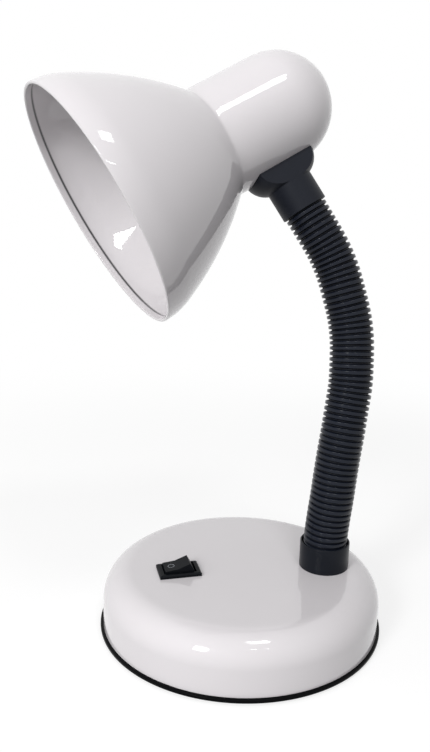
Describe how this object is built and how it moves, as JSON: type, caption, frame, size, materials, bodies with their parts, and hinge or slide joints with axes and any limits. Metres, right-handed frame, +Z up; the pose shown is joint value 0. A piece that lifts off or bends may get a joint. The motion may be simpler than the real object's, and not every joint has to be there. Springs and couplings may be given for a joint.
{
  "type": "gooseneck desk lamp",
  "caption": "Desk lamp with a round weighted base, rocker switch, ribbed bendable gooseneck and a bell-shaped metal shade over a screw-cap bulb.",
  "frame": {"origin": "middle of the base, on the table", "axes": "+Z up, +X away from the switch, so the foot of the neck is on the +X side, and the switch and the mouth of the shade are towards -X; +Y towards the cord inlet at the back"},
  "size_m": [0.1768, 0.1555, 0.2893],
  "materials": {
    "white_paint": "gloss",
    "black_plastic": "satin",
    "sleeve_plastic": "satin",
    "switch_plastic": "satin",
    "foot_rubber": "matte",
    "zinc_steel": "zinc plated",
    "core_steel": "drawn",
    "ballast_iron": "cast, oiled",
    "contact_brass": "stamped",
    "holder_resin": "moulded",
    "terminal_plastic": "moulded",
    "bulb_plastic": "moulded",
    "bulb_glass": "opal",
    "cap_nickel": "rolled"
  },
  "bodies": {
    "base": {"base_shell": "white_paint", "base_cover": "black_plastic", "base_pads": "foot_rubber", "cover_screws": "zinc_steel", "ballast": "ballast_iron", "cord_bush": "black_plastic", "terminal_block": "terminal_plastic", "switch_housing": "switch_plastic", "switch_terminals": "contact_brass", "neck_collar": "black_plastic", "neck_socket": "core_steel", "neck_nut": "zinc_steel", "neck_foot_sleeve": "sleeve_plastic"},
    "rocker": {"switch_rocker": "switch_plastic", "switch_plunger": "zinc_steel", "switch_spring": "zinc_steel"},
    "lever": {"switch_lever": "contact_brass"},
    "link_01": {"neck_core_01": "core_steel", "neck_sleeve_01": "sleeve_plastic"},
    "link_02": {"neck_core_02": "core_steel", "neck_sleeve_02": "sleeve_plastic"},
    "link_03": {"neck_core_03": "core_steel", "neck_sleeve_03": "sleeve_plastic"},
    "link_04": {"neck_core_04": "core_steel", "neck_sleeve_04": "sleeve_plastic"},
    "link_05": {"neck_core_05": "core_steel", "neck_sleeve_05": "sleeve_plastic"},
    "link_06": {"neck_core_06": "core_steel", "neck_sleeve_06": "sleeve_plastic"},
    "link_07": {"neck_core_07": "core_steel", "neck_sleeve_07": "sleeve_plastic"},
    "link_08": {"neck_core_08": "core_steel", "neck_sleeve_08": "sleeve_plastic"},
    "link_09": {"neck_core_09": "core_steel", "neck_sleeve_09": "sleeve_plastic"},
    "link_10": {"neck_core_10": "core_steel", "neck_sleeve_10": "sleeve_plastic"},
    "link_11": {"neck_core_11": "core_steel", "neck_sleeve_11": "sleeve_plastic"},
    "link_12": {"neck_core_12": "core_steel", "neck_sleeve_12": "sleeve_plastic"},
    "link_13": {"neck_core_13": "core_steel", "neck_sleeve_13": "sleeve_plastic"},
    "link_14": {"neck_core_14": "core_steel", "neck_sleeve_14": "sleeve_plastic"},
    "link_15": {"neck_core_15": "core_steel", "neck_sleeve_15": "sleeve_plastic"},
    "head": {"head_fitting": "core_steel", "knuckle": "black_plastic", "head_nut": "zinc_steel", "shade": "white_paint", "shade_neck": "white_paint", "holder_bracket": "zinc_steel", "holder_nut": "zinc_steel", "lampholder": "holder_resin", "lampholder_shell": "contact_brass", "lampholder_contact": "contact_brass", "bulb_housing": "bulb_plastic", "bulb_globe": "bulb_glass", "bulb_cap": "cap_nickel"}
  },
  "joints": [
    {"name": "neck_bend_01", "type": "hinge", "parent": "base", "child": "link_01", "pos_m": [0.04202, -0.00703, 0.0435], "axis": [0, 1, 0], "range_deg": [-5.5, 7]},
    {"name": "neck_bend_02", "type": "hinge", "parent": "link_01", "child": "link_02", "pos_m": [0.04298, -0.00703, 0.05521], "axis": [0, 1, 0], "range_deg": [-5.5, 7]},
    {"name": "neck_sway_03", "type": "hinge", "parent": "link_02", "child": "link_03", "pos_m": [0.04435, -0.00703, 0.06688], "axis": [0.9932, 0, -0.1167], "range_deg": [-7.2, 9]},
    {"name": "neck_bend_04", "type": "hinge", "parent": "link_03", "child": "link_04", "pos_m": [0.04572, -0.00615, 0.07852], "axis": [-0.0087, 0.9972, -0.0745], "range_deg": [-5.5, 7]},
    {"name": "neck_bend_05", "type": "hinge", "parent": "link_04", "child": "link_05", "pos_m": [0.04735, -0.00527, 0.09012], "axis": [-0.0087, 0.9972, -0.0745], "range_deg": [-5.5, 7]},
    {"name": "neck_sway_06", "type": "hinge", "parent": "link_05", "child": "link_06", "pos_m": [0.04924, -0.00439, 0.10168], "axis": [0.9869, -0.0034, -0.1615], "range_deg": [-7.2, 9]},
    {"name": "neck_bend_07", "type": "hinge", "parent": "link_06", "child": "link_07", "pos_m": [0.05112, -0.00263, 0.11315], "axis": [-0.0208, 0.9888, -0.148], "range_deg": [-5.5, 7]},
    {"name": "neck_bend_08", "type": "hinge", "parent": "link_07", "child": "link_08", "pos_m": [0.05327, -0.00088, 0.12457], "axis": [-0.0208, 0.9888, -0.148], "range_deg": [-3.6, 10]},
    {"name": "neck_sway_09", "type": "hinge", "parent": "link_08", "child": "link_09", "pos_m": [0.05377, 0.00087, 0.13617], "axis": [0.9989, 0.0143, -0.0448], "range_deg": [-7, 9]},
    {"name": "neck_bend_10", "type": "hinge", "parent": "link_09", "child": "link_10", "pos_m": [0.05425, 0.00332, 0.14766], "axis": [-0.0234, 0.9778, -0.2081], "range_deg": [-3.6, 10]},
    {"name": "neck_bend_11", "type": "hinge", "parent": "link_10", "child": "link_11", "pos_m": [0.05307, 0.00573, 0.1591], "axis": [-0.0234, 0.9778, -0.2081], "range_deg": [-3.6, 10]},
    {"name": "neck_sway_12", "type": "hinge", "parent": "link_11", "child": "link_12", "pos_m": [0.05025, 0.00804, 0.17027], "axis": [0.9706, 0.072, 0.2296], "range_deg": [-7, 9]},
    {"name": "neck_bend_13", "type": "hinge", "parent": "link_12", "child": "link_13", "pos_m": [0.04743, 0.01105, 0.18127], "axis": [-0.0087, 0.964, -0.2657], "range_deg": [-3.6, 10]},
    {"name": "neck_bend_14", "type": "hinge", "parent": "link_13", "child": "link_14", "pos_m": [0.04302, 0.01391, 0.19178], "axis": [-0.0087, 0.964, -0.2657], "range_deg": [-3.6, 10]},
    {"name": "neck_sway_15", "type": "hinge", "parent": "link_14", "child": "link_15", "pos_m": [0.03713, 0.01656, 0.20159], "axis": [0.865, 0.1406, 0.4817], "range_deg": [-7, 9]},
    {"name": "neck_bend_16", "type": "hinge", "parent": "link_15", "child": "head", "pos_m": [0.03124, 0.0199, 0.2112], "axis": [0.022, 0.9484, -0.3162], "range_deg": [-3.6, 10]},
    {"name": "switch_rock", "type": "hinge", "parent": "base", "child": "rocker", "pos_m": [-0.0333, 0, 0.0289], "axis": [0, 1, 0], "range_deg": [0, 28]},
    {"name": "switch_contact", "type": "hinge", "parent": "base", "child": "lever", "pos_m": [-0.0333, 0, 0.022], "axis": [0, 1, 0], "range_deg": [-16, 0]}
  ],
  "couplings": [
    {"joint": "neck_bend_02", "follows": "neck_bend_01", "ratio": 1},
    {"joint": "neck_bend_04", "follows": "neck_bend_01", "ratio": 1},
    {"joint": "neck_bend_05", "follows": "neck_bend_01", "ratio": 1},
    {"joint": "neck_sway_06", "follows": "neck_sway_03", "ratio": 1},
    {"joint": "neck_bend_07", "follows": "neck_bend_01", "ratio": 1},
    {"joint": "neck_bend_10", "follows": "neck_bend_08", "ratio": 1},
    {"joint": "neck_bend_11", "follows": "neck_bend_08", "ratio": 1},
    {"joint": "neck_sway_12", "follows": "neck_sway_09", "ratio": 1},
    {"joint": "neck_bend_13", "follows": "neck_bend_08", "ratio": 1},
    {"joint": "neck_bend_14", "follows": "neck_bend_08", "ratio": 1},
    {"joint": "neck_sway_15", "follows": "neck_sway_09", "ratio": 1},
    {"joint": "neck_bend_16", "follows": "neck_bend_08", "ratio": 1},
    {"joint": "switch_contact", "follows": "switch_rock", "ratio": -0.5714}
  ]
}
